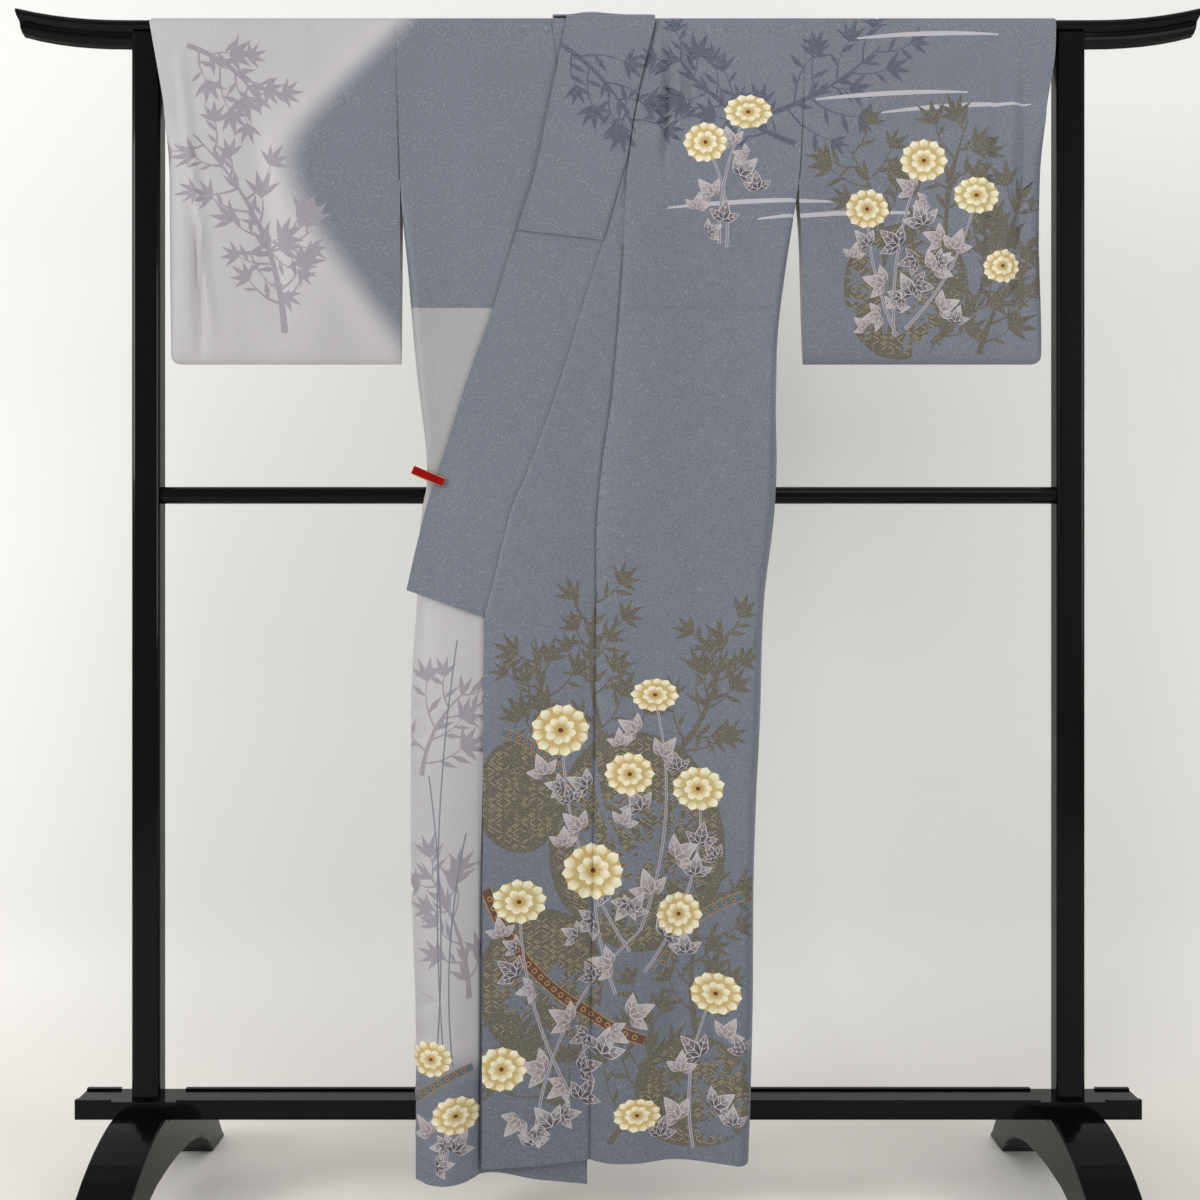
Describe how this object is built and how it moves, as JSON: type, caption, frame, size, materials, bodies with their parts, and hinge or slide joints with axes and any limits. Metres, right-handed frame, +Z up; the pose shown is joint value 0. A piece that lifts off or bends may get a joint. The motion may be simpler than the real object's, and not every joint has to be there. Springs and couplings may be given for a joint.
{
  "type": "silk kimono on a lacquered kimono stand",
  "caption": "Lined formal silk kimono hung over the rail of a black lacquered kimono stand, left front over right and held shut by a small bar clip.",
  "frame": {"origin": "on the floor under the middle of the stand", "axes": "+Z up, the front of the garment looks along -Y, +X to the wearer's left"},
  "size_m": [1.7256, 0.5378, 1.7503],
  "materials": {
    "silk_body_right": "matt crepe silk, pale grey shading to blue-grey",
    "silk_body_left": "matt crepe silk, blue-grey with floral decoration",
    "silk_okumi_right": "matt crepe silk, blue-grey",
    "silk_okumi_left": "matt crepe silk, blue-grey with floral decoration",
    "silk_sleeve_right": "matt crepe silk, pale grey with a blue-grey area",
    "silk_sleeve_left": "matt crepe silk, blue-grey with floral decoration",
    "silk_collar": "matt crepe silk, blue-grey",
    "clip_enamel": "gloss red enamel with a gilt edge",
    "lacquer": "gloss black lacquer"
  },
  "bodies": {
    "root": {"body_right": "silk_body_right", "body_left": "silk_body_left", "okumi_right": "silk_okumi_right", "okumi_left": "silk_okumi_left", "sleeve_right": "silk_sleeve_right", "sleeve_left": "silk_sleeve_left", "collar_right": "silk_collar", "collar_left": "silk_collar", "collar_back": "silk_collar", "overcollar_left": "silk_collar", "clip": "clip_enamel", "rail": "lacquer", "upright_right": "lacquer", "upright_left": "lacquer", "crossbar": "lacquer", "beam": "lacquer", "foot_right": "lacquer", "foot_left": "lacquer"}
  },
  "joints": []
}
